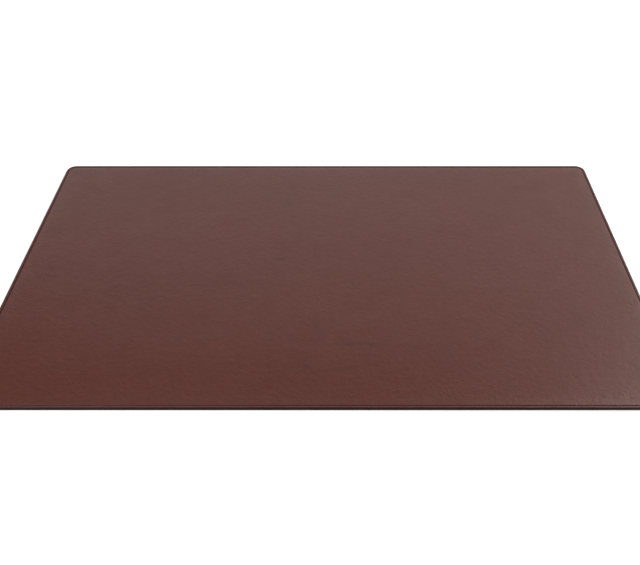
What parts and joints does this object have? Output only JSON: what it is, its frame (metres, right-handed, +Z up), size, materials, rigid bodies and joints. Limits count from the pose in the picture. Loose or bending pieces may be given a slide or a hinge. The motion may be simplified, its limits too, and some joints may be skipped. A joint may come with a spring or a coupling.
{
  "type": "desk mat",
  "caption": "Thin flat rectangular leather desk mat with rounded corners, a sunk tonal stitch line near the rim, painted cut edges and a suede backing.",
  "frame": {"origin": "middle of the mat's underside, on the desk", "axes": "+X along the long side, +Y from the user's side to the far side, +Z up through the thickness"},
  "size_m": [0.7, 0.4, 0.0035],
  "materials": {
    "grain_leather": "satin",
    "contact_cement": "matte",
    "leather_fibre_board": "matte",
    "suede": "matte",
    "edge_paint": "satin",
    "thread": "satin"
  },
  "bodies": {
    "root": {"top_leather": "grain_leather", "upper_adhesive": "contact_cement", "core_board": "leather_fibre_board", "lower_adhesive": "contact_cement", "suede_backing": "suede", "edge_paint": "edge_paint", "needle_thread": "thread", "bobbin_thread": "thread"}
  },
  "joints": []
}
